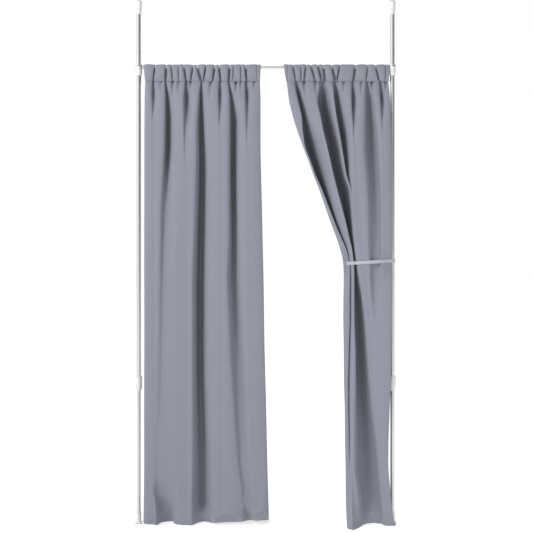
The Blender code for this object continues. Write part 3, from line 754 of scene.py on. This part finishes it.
RIGHT_DROP = (
    (0.40, (
        (2.367, 0.148, 0.176, 0.016), (2.32, 0.157, 0.192, 0.060), (2.262, 0.170, 0.206, 0.090),
        (2.182, 0.190, 0.226, 0.120), (2.102, 0.196, 0.250, 0.140, 0.02), (2.023, 0.207, 0.275, 0.150, 0.03),
        (1.943, 0.238, 0.296, 0.150, 0.03), (1.863, 0.265, 0.317, 0.150, 0.02), (1.784, 0.299, 0.336, 0.140),
        (1.704, 0.330, 0.356, 0.130), (1.624, 0.361, 0.378, 0.110), (1.544, 0.394, 0.407, 0.080),
        (1.465, 0.430, 0.440, 0.060), (1.385, 0.447, 0.454, 0.050), (1.199, 0.445, 0.452, 0.050),
        (1.093, 0.445, 0.452, 0.050), (0.933, 0.440, 0.447, 0.050), (0.774, 0.437, 0.444, 0.045),
        (0.614, 0.437, 0.444, 0.035), (0.455, 0.440, 0.448, 0.014), (0.33, 0.442, 0.450, 0.0),
        (0.0, 0.450, 0.458, 0.0),
    )),
    (0.40, (
        (2.367, 0.292, 0.322, 0.018), (2.32, 0.278, 0.334, 0.070), (2.262, 0.270, 0.341, 0.120),
        (2.182, 0.289, 0.357, 0.150), (2.102, 0.304, 0.375, 0.160), (2.023, 0.324, 0.394, 0.165),
        (1.943, 0.342, 0.404, 0.165), (1.863, 0.359, 0.420, 0.165), (1.784, 0.379, 0.448, 0.160),
        (1.704, 0.400, 0.455, 0.150), (1.624, 0.422, 0.459, 0.140), (1.544, 0.440, 0.465, 0.120),
        (1.465, 0.459, 0.474, 0.090), (1.385, 0.469, 0.486, 0.080), (1.332, 0.469, 0.492, 0.085),
        (1.199, 0.468, 0.514, 0.105), (1.093, 0.468, 0.526, 0.112), (0.933, 0.474, 0.538, 0.114),
        (0.774, 0.474, 0.550, 0.114), (0.614, 0.472, 0.564, 0.112), (0.455, 0.472, 0.584, 0.110),
        (0.295, 0.474, 0.597, 0.104), (0.189, 0.488, 0.606, 0.096), (0.109, 0.496, 0.616, 0.080),
        (0.0, 0.502, 0.628, 0.028),
    )),
    (0.45, (
        (2.367, 0.352, 0.386, 0.018), (2.32, 0.358, 0.398, 0.060), (2.262, 0.363, 0.405, 0.090),
        (2.182, 0.374, 0.419, 0.110), (2.102, 0.388, 0.433, 0.115), (2.023, 0.402, 0.440, 0.110),
        (1.943, 0.415, 0.445, 0.090), (1.863, 0.428, 0.447, 0.050, 0.01), (1.784, 0.454, 0.457, 0.0),
        (1.704, 0.461, 0.464, 0.0), (1.624, 0.467, 0.471, 0.0), (1.525, 0.477, 0.480, 0.0),
        (1.40, 0.502, 0.506, 0.0), (1.20, 0.524, 0.528, 0.0), (1.063, 0.538, 0.542, 0.0),
        (0.945, 0.545, 0.549, 0.0), (0.661, 0.568, 0.572, 0.0), (0.42, 0.594, 0.598, 0.0),
        (0.275, 0.605, 0.609, 0.0), (0.125, 0.622, 0.626, 0.0), (0.0, 0.637, 0.641, 0.0),
    )),
    (0.35, (
        (2.367, 0.454, 0.480, 0.016), (2.28, 0.453, 0.488, 0.052), (2.20, 0.455, 0.486, 0.030),
        (2.13, 0.460, 0.482, 0.010), (2.05, 0.464, 0.478, 0.0), (1.60, 0.490, 0.500, 0.0),
        (1.40, 0.522, 0.530, 0.0), (1.063, 0.552, 0.556, 0.0), (0.661, 0.580, 0.584, 0.0),
        (0.42, 0.605, 0.608, 0.0), (0.0, 0.648, 0.651, 0.0),
    )),
    (0.48, (
        (2.367, 0.530, 0.556, 0.016), (2.281, 0.525, 0.575, 0.055), (2.14, 0.523, 0.590, 0.075),
        (2.002, 0.522, 0.600, 0.075), (1.852, 0.534, 0.608, 0.062), (1.707, 0.542, 0.612, 0.050),
        (1.417, 0.548, 0.614, 0.034), (1.214, 0.560, 0.606, 0.012), (1.10, 0.570, 0.600, 0.0),
        (0.661, 0.594, 0.606, 0.0), (0.42, 0.616, 0.622, 0.0), (0.0, 0.659, 0.665, 0.0),
    )),
    (0.45, (
        (2.367, 0.602, 0.626, 0.016), (2.281, 0.605, 0.638, 0.044), (2.22, 0.608, 0.638, 0.022),
        (2.14, 0.612, 0.636, 0.005), (2.09, 0.614, 0.634, 0.0), (1.417, 0.622, 0.630, 0.0),
        (0.661, 0.622, 0.628, 0.0), (0.42, 0.632, 0.638, 0.0), (0.0, 0.674, 0.680, 0.0),
    )),
)
RIGHT_START = (
    (2.456, 0.096, 0.004), (2.367, 0.113, 0.004), (2.262, 0.125, 0.010), (2.182, 0.145, 0.020),
    (2.102, 0.172, 0.050), (2.023, 0.203, 0.070), (1.943, 0.234, 0.070), (1.863, 0.261, 0.050),
    (1.784, 0.288, 0.020), (1.704, 0.315, 0.012), (1.624, 0.342, 0.010), (1.544, 0.373, 0.010),
    (1.465, 0.400, 0.012), (1.417, 0.414, 0.015), (1.385, 0.417, 0.014), (1.332, 0.417, 0.012),
    (1.199, 0.4135, 0.010), (1.093, 0.413, 0.010), (0.933, 0.416, 0.010), (0.774, 0.417, 0.010),
    (0.614, 0.421, 0.008), (0.455, 0.4215, 0.006), (0.295, 0.425, 0.004), (0.109, 0.426, 0.002),
    (0.0, 0.430, 0.0),
)
RIGHT_END = (
    (2.367, 0.656, 0.004), (2.30, 0.661, 0.008), (2.20, 0.667, 0.010), (2.0, 0.672, 0.010),
    (1.385, 0.675, 0.010), (0.844, 0.668, 0.010), (0.468, 0.653, 0.010), (0.232, 0.650, 0.010),
    (0.104, 0.656, 0.010), (0.05, 0.668, 0.010), (0.0, 0.698, 0.010),
)
RIGHT_FRONT = (
    (2.367, -0.010), (2.34, -0.020), (2.28, -0.034), (2.1, -0.046), (1.7, -0.054), (0.6, -0.058),
    (0.0, -0.060),
)
RIGHT_PUCKERS = (
    (0.206, 0.12, 0.0075, 0.0224, 0.1), (0.266, 0.1, 0.0075, 0.0208, 0.1),
    (0.292, 0.06, 0.00625, 0.016, 0.1), (0.418, 0.02, 0.00625, 0.016, 0.09),
    (0.512, 0, 0.00625, 0.0128, 0.09), (0.57, -0.02, 0.0075, 0.0192, 0.16),
    (0.643, 0, 0.00625, 0.0144, 0.09),
)
RIGHT_CREASE_LINE = (
    (0.430, 0.100, -0.045), (0.457, 0.170, -0.072), (0.464, 0.120, -0.066), (0.490, 0.060, -0.030),
    (0.516, 0.090, 0.010), (0.545, 0.030, 0.022), (0.575, 0.060, 0.030), (0.600, 0.025, 0.022),
    (0.625, 0.050, 0.020), (0.640, 0.030, 0.006), (0.700, 0.035, 0.004),
)

# The tieback: half the width of the cloth inside it, its width, its rise towards the post, and where the
# part that closes up with the curtain ends
BUNDLE_HALF_WIDTH = 0.116
BAND_WIDTH = 0.018
BAND_RISE = 0.014
BAND_SPLIT = 0.656
# How far above and under the band the cloth is pressed in, and how far inside the band it stays
PRESSED = 0.055
BAND_CLEAR = 0.0012
# Where the ellipse round the bundle gives way to straight lines to the post, as a share of its half width
HULL_JOIN = 0.62
# The hidden layer behind the bundle: the share of the top rows' length that every row keeps, how far it may
# reach sideways, where its back lies, and the clearance beside the post
KEPT_LENGTH = 0.94
TUCK_REACH = 0.085
TUCK_BACK = 0.095
POST_CLEAR = 0.004


def tie_hull(x):
    """Half the depth, at x, of the space inside the tieback: an ellipse round the cloth, joined by straight
    lines to the post."""
    low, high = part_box("tieback_strap")
    post_radius = half_width("right_upper_tube")
    half = BUNDLE_HALF_WIDTH
    centre = low[0] + 0.002 + half
    deep = high[1] - 0.0022
    ellipse = deep * np.sqrt(np.clip(1.0 - ((x - centre) / half) ** 2, 0.0, 1.0))
    join = centre + HULL_JOIN * half
    join_depth = deep * np.sqrt(1.0 - HULL_JOIN**2)
    slope = (post_radius + 0.0015 - join_depth) / (POST_X["right"] - join)
    return np.where(x > join, np.maximum(join_depth + slope * (x - join), post_radius + 0.001), ellipse)


def tucked_behind(points, swings=6, columns=96):
    """Gives every row the length of the top rows: what the front doesn't use goes back behind the bundle as
    a wavy layer, x = x0 - past t - reach s, y = y0 + back s^(1/4) - swing sin(2 pi swings s) for s from 0 to
    1, where t gets to 1 before s leaves 0, so that the layer passes the post on its inner side."""
    used = np.linalg.norm(np.diff(points[..., :2], axis=1), axis=2).sum(axis=1)
    below = SEAM_HEIGHT - points[:, 0, 2]
    extra = np.maximum(KEPT_LENGTH * used[(below > 0.05) & (below < 0.20)].max() - used, 0.0)
    extra *= np.clip(below / 0.40, 0.0, 1.0) ** 2
    extra = np.convolve(np.pad(extra, 6, mode="edge"), np.ones(13) / 13.0, mode="valid")[:, None]
    reach = np.minimum(0.24 * extra, TUCK_REACH)
    swing = np.sqrt(extra**2 - reach**2) / (4.0 * swings)
    start_x, start_y, height = [points[:, -1, k, None] for k in range(3)]
    walk = np.linspace(0.0, 1.0, columns + 1)[None, 1:]
    aside, share = np.clip(walk * 8.0, 0.0, 1.0), np.clip((walk - 0.125) / 0.875, 0.0, 1.0)
    widths = [half_width(f"right_{node}") for node in ("foot_cup", "lock_collar")]
    inner_side = POST_X["right"] - np.interp(height, (0.04, 0.12), widths) - POST_CLEAR
    past = np.clip(start_x - inner_side, 0.0, 0.5 * extra)
    back = np.minimum(0.45 * extra, TUCK_BACK - start_y)
    x = start_x - past * aside - reach * share
    y = start_y + np.minimum(0.05 * extra, 0.005) * aside + back * share**0.25
    y = y - swing * np.sin(2.0 * np.pi * swings * share) * np.minimum(1.0, 4.0 * share)
    layer = np.stack([x, y, np.broadcast_to(height, x.shape)], axis=-1)
    return np.concatenate([points, layer], axis=1)


def left_drop():
    points = drop_points(LEFT_START, LEFT_END, LEFT_FRONT, LEFT_DROP, LEFT_PUCKERS, LEFT_CREASE_LINE, 11)
    made = cloth_piece("left_curtain_panel", points, "rod_carrier", ["left_curtain_drop"], hem_mask(points))
    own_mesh(made)


def right_drop():
    front = drop_points(RIGHT_START, RIGHT_END, RIGHT_FRONT, RIGHT_DROP, RIGHT_PUCKERS, RIGHT_CREASE_LINE, 12)
    points = tucked_behind(front)
    x, y, z = np.moveaxis(points, -1, 0)
    limit = tie_hull(x) - BAND_CLEAR
    tight = np.exp(-(((z - TIE_HEIGHT) / PRESSED) ** 2))
    points[..., 1] = y + (np.clip(y, -limit, limit) - y) * tight
    made = cloth_piece("right_curtain_panel", points, "rod_inner", ["right_curtain_drop"], hem_mask(points))
    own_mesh(made)


# ---------------------------------------------------------------------------------------------------------
# Rod pockets
# ---------------------------------------------------------------------------------------------------------

POCKET_ROWS = 64
# The cloth that goes round the rod, and the width of the leading end that slides on its own
LEADING_WIDTH = 0.025
# Each crease: its place at the pocket's top and at the seam, its half mouth, its depth
LEFT_CREASES = (
    (-0.590, -0.602, 0.005, 0.015), (-0.531, -0.535, 0.007, 0.018), (-0.504, -0.497, 0.005, 0.009),
    (-0.466, -0.465, 0.004, 0.006), (-0.438, -0.425, 0.006, 0.016), (-0.387, -0.401, 0.005, 0.012),
    (-0.366, -0.346, 0.007, 0.018), (-0.317, -0.333, 0.005, 0.012), (-0.271, -0.283, 0.006, 0.016),
    (-0.248, -0.241, 0.006, 0.017), (-0.192, -0.198, 0.006, 0.017), (-0.170, -0.175, 0.004, 0.006),
    (-0.133, -0.132, 0.004, 0.006), (-0.107, -0.101, 0.006, 0.016),
)
RIGHT_CREASES = (
    (0.146, 0.160, 0.005, 0.012), (0.190, 0.189, 0.004, 0.007), (0.2165, 0.206, 0.005, 0.012),
    (0.242, 0.265, 0.006, 0.014), (0.281, 0.299, 0.006, 0.014), (0.308, 0.3175, 0.008, 0.019),
    (0.354, 0.371, 0.007, 0.018), (0.398, 0.380, 0.005, 0.013), (0.482, 0.470, 0.008, 0.018),
    (0.548, 0.536, 0.006, 0.010), (0.586, 0.607, 0.006, 0.017), (0.645, 0.638, 0.004, 0.006),
)


# The pocket's cross-section: half its thickness at the seam and what the belly adds, how far its top stands
# over the node's, and the share of the rise from which the top rounds over
POCKET_NECK, POCKET_BELLY, POCKET_STAND, POCKET_ROUND = 0.0105, 0.0130, 0.002, 0.80


def pocket_section(share):
    """The pocket's cross-section at a share from the front seam (0) over the rod (0.5) to the back seam (1):
    (y, z) on a closed, pear-shaped line, its outward normals, and the rise from the seam (0) to the top."""
    half = np.where(share < 0.5, share, 1.0 - share) * 2.0
    side = np.where(share < 0.5, -1.0, 1.0)
    rise = np.sin(half * np.pi / 2.0) ** 1.2
    z = SEAM_HEIGHT + (POCKET_TOP - SEAM_HEIGHT + POCKET_STAND) * rise
    belly = POCKET_NECK + POCKET_BELLY * np.sin(np.pi * np.clip(rise, 0.0, 1.0) ** 0.75) ** 0.8
    over = np.clip((rise - POCKET_ROUND) / (1.0 - POCKET_ROUND), 0.0, 1.0)
    cap = np.sqrt(np.clip(1.0 - over**2, 0.0, 1.0))
    line = np.stack([side * belly * cap, z], axis=1)
    slope = np.gradient(line, axis=0)
    slope /= np.linalg.norm(slope, axis=1)[:, None]
    return line, np.stack([-slope[:, 1], slope[:, 0]], axis=1), rise


def pocket(name, ends, creases, body, replaced, seed):
    """A gathered tube of cloth round the rod: pleats worked out along the cross-section and laid on it along
    its normals. Ends is ((x at the top, x at the seam) of either end). A crease is deepest over the belly."""
    share = np.linspace(0.0, 1.0, POCKET_ROWS)
    line, normal, rise = pocket_section(share)
    weight = 0.55 + 0.65 * np.sin(np.pi * np.clip(rise, 0, 1) ** 0.8)
    weight *= 1.0 - 0.72 * np.clip((rise - 0.75) / 0.25, 0, 1)
    start, end = [
        np.stack([seam + (top - seam) * rise, 0.0 * rise + 0.002], axis=1) for top, seam in ends
    ]
    valleys = []
    for top, seam, half, depth in creases:
        keys = []
        for level in np.linspace(0.0, 1.0, 9):
            at = int(round(level * (POCKET_ROWS - 1)))
            middle = seam + (top - seam) * rise[at]
            keys.append((level, middle - 1.5 * half, middle + 1.5 * half, 1.4 * depth * weight[at]))
        valleys.append((0.45, keys))
    sag = 0.0045 * (0.35 + 0.65 * np.sin(np.pi * share))
    plan = pleats(share, start, end, valleys, sag, 0.02, tilt=0.1, per_face=8, per_wall=7)
    x, depth = plan[..., 0], plan[..., 1]
    depth = depth + waves(x, share[:, None] * 0.2, seed, 6, 0.05, 0.0008)
    y = line[:, 0, None] - normal[:, 0, None] * depth
    z = line[:, 1, None] - normal[:, 1, None] * depth
    points = np.stack([x, y, z], axis=-1)
    return cloth_piece(name, points, body, replaced)


def pockets():
    left_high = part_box("left_curtain_heading")[1][0]
    right_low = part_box("right_curtain_heading")[0][0]
    for name, ends, creases, body, node, seed, width in (
        ("left_rod_pocket", ((-0.653, -0.644), (left_high, left_high)), LEFT_CREASES, "rod_carrier",
         "left_curtain_heading", 21, PANEL_WIDTH - LEADING_WIDTH),
        ("left_pocket_end", ((left_high + GAP, left_high + GAP), (-0.0265, -0.031)), (), "left_leading",
         "left_leading_end", 22, LEADING_WIDTH),
        ("right_rod_pocket", ((right_low, right_low), (0.659, 0.659)), RIGHT_CREASES, "rod_inner",
         "right_curtain_heading", 23, PANEL_WIDTH - LEADING_WIDTH),
        ("right_pocket_end", ((0.097, 0.113), (right_low - GAP, right_low - GAP)), (), "right_leading",
         "right_leading_end", 24, LEADING_WIDTH),
    ):
        made = pocket(name, ends, creases, body, [node], seed)
        if name == "left_rod_pocket":
            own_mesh(made)
        if name == "right_rod_pocket":
            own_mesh(made)


def band_ring():
    """The band's line in plan, anticlockwise from the post's back: for each outward direction, the further of
    the ellipse round the cloth and the circle round the post, then a straight run between them."""
    low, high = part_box("tieback_strap")
    offset = CLOTH_THICK + GAP
    half = np.array([BUNDLE_HALF_WIDTH, high[1] - 0.0016]) + offset
    centre = np.array([low[0] + 0.0016 + BUNDLE_HALF_WIDTH, 0.0])
    angle = np.linspace(0.0, 2.0 * np.pi, 720, endpoint=False)
    out = np.stack([np.cos(angle), np.sin(angle)], axis=1)
    bundle = centre + out * half**2 / np.linalg.norm(out * half, axis=1)[:, None]
    around = np.array([POST_X["right"], 0.0]) + out * (half_width("right_upper_tube") + offset + GAP)
    outer = np.where(((around - bundle) * out).sum(axis=1)[:, None] > 0.0, around, bundle)
    outer = np.concatenate([outer, outer[:1]])
    length = np.concatenate([[0.0], np.cumsum(np.linalg.norm(np.diff(outer, axis=0), axis=1))])
    even = np.linspace(0.0, length[-1], 3000, endpoint=False)
    return np.stack([np.interp(even, length, outer[:, k]) for k in (0, 1)], axis=1)


def tieback():
    """The band round the cloth and the post, rising towards the post, made in two pieces, one round the
    bundle and one round the post, both on the inner rod's body."""
    ring = band_ring()
    low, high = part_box("tieback_strap")
    rise = BAND_RISE / (2.0 * BUNDLE_HALF_WIDTH)
    middle = TIE_HEIGHT + rise * (ring[:, 0] - float(low[0] + high[0]) / 2.0)
    on_bundle = ring[:, 0] < BAND_SPLIT
    pieces = []
    for name, kept, columns in (("band_round_cloth", on_bundle, 220), ("band_round_post", ~on_bundle, 60)):
        first = np.flatnonzero(kept & ~np.roll(kept, 1))[0]
        order = np.roll(np.arange(len(ring)), -first)[: kept.sum()]
        order = order[np.linspace(0, len(order) - 1, columns).astype(int)]
        level = np.linspace(-0.5, 0.5, 11)[:, None]
        tangent = np.gradient(ring[order], axis=0)
        normal = unit(np.stack([tangent[:, 1], -tangent[:, 0]], axis=1))
        run = np.concatenate([[0.0], np.cumsum(np.linalg.norm(np.diff(ring[order], axis=0), axis=1))])
        across = level * BAND_WIDTH
        puff = 0.0007 * (1.0 - (2.0 * level) ** 2) + waves(run[None, :], across, 31, 6, 0.05, 0.00018)
        z = middle[order][None, :] + across + waves(run[None, :], 0.0 * level, 32, 4, 0.12, 0.0004)
        flat = ring[order][None, :, :] + normal[None, :, :] * puff[..., None]
        points = np.concatenate([flat, np.broadcast_to(z, puff.shape)[..., None]], axis=-1)
        edge = np.broadcast_to(np.abs(level) > 0.35, puff.shape).astype(float)
        made = cloth_piece(name, points, "rod_inner", ["tieback_strap"], edge, BAND)
        pieces.append(made)
    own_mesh(pieces[0])


# Light: the world's strength at the front left, the front right and behind, and the two lamps' power
FRONT_LEFT, FRONT_RIGHT, BEHIND = 1.5, 0.12, 1.0
KEY_POWER, FILL_POWER = 150.0, 26.0
FLOOR_SIZE, FLOOR_SHADE, FLOOR_GLOW = 60.0, 0.50, 0.62


def stage():
    floor = bpy.data.meshes.new("floor")
    corners = [(x * FLOOR_SIZE, y * FLOOR_SIZE, 0.0) for x, y in ((-1, -1), (1, -1), (1, 1), (-1, 1))]
    floor.from_pydata(corners, [], [(0, 1, 2, 3)])
    made = bpy.data.objects.new("floor", floor)
    bpy.context.scene.collection.objects.link(made)
    pale = bpy.data.materials.new("pale_floor")
    pale.use_nodes = True
    for label, value in (
        ("Base Color", (FLOOR_SHADE, FLOOR_SHADE, FLOOR_SHADE, 1.0)), ("Roughness", 0.9),
        ("Emission Color", (1.0, 1.0, 1.0, 1.0)), ("Emission Strength", FLOOR_GLOW),
    ):
        pale.node_tree.nodes["Principled BSDF"].inputs[label].default_value = value
    floor.materials.append(pale)

    world = bpy.data.worlds.new("studio")
    bpy.context.scene.world = world
    world.use_nodes = True
    tree = world.node_tree
    way = wire(tree, "ShaderNodeTexCoord").outputs["Generated"]
    split = wire(tree, "ShaderNodeSeparateXYZ", [("Vector", way)])
    front = ranged(tree, split.outputs["X"], (-0.60, 0.35), (FRONT_LEFT, FRONT_RIGHT))
    behind = ranged(tree, split.outputs["Y"], (-0.25, 0.20), (0.0, 1.0))
    mixed = wire(tree, "ShaderNodeMix", [("Factor", behind), ("A", front)])
    mixed.inputs["B"].default_value = BEHIND
    tree.links.new(mixed.outputs[0], tree.nodes["Background"].inputs["Strength"])
    tree.nodes["Background"].inputs["Color"].default_value = (1.0, 1.0, 1.0, 1.0)

    for name, place, target, size, power, tint in (
        ("key", (-3.0, -3.2, 4.0), (0.0, 0.0, 1.7), 1.6, KEY_POWER, (1.0, 1.0, 1.0)),
        ("fill", (1.9, -2.1, 0.8), (0.60, 0.0, 0.9), 1.0, FILL_POWER, (0.86, 0.93, 1.0)),
    ):
        light = bpy.data.lights.new(name, "AREA")
        light.size = size
        light.energy = power
        lamp = bpy.data.objects.new(name, light)
        lamp.location = place
        aim = np.array(target) - np.array(place)
        yaw = np.arctan2(aim[1], aim[0]) - np.pi / 2.0
        pitch = np.arctan2(np.hypot(aim[0], aim[1]), -aim[2])
        lamp.rotation_euler = (pitch, 0.0, yaw)
        lamp.visible_glossy = False
        light.color = tint
        bpy.context.scene.collection.objects.link(lamp)

    lens = bpy.data.cameras.new("camera")
    lens.lens = 62.97
    lens.sensor_width = 36.0
    lens.clip_end = 200.0
    camera = bpy.data.objects.new("camera", lens)
    camera.location = (0.0048, -5.0, 1.377)
    camera.rotation_euler = (np.pi / 2.0, 0.0, 0.0)
    bpy.context.scene.collection.objects.link(camera)
    bpy.context.scene.camera = camera
    bpy.context.scene.view_settings.view_transform = "Standard"


stage()
for side in ("left", "right"):
    post(side)
rod()
left_drop()
right_drop()
pockets()
tieback()
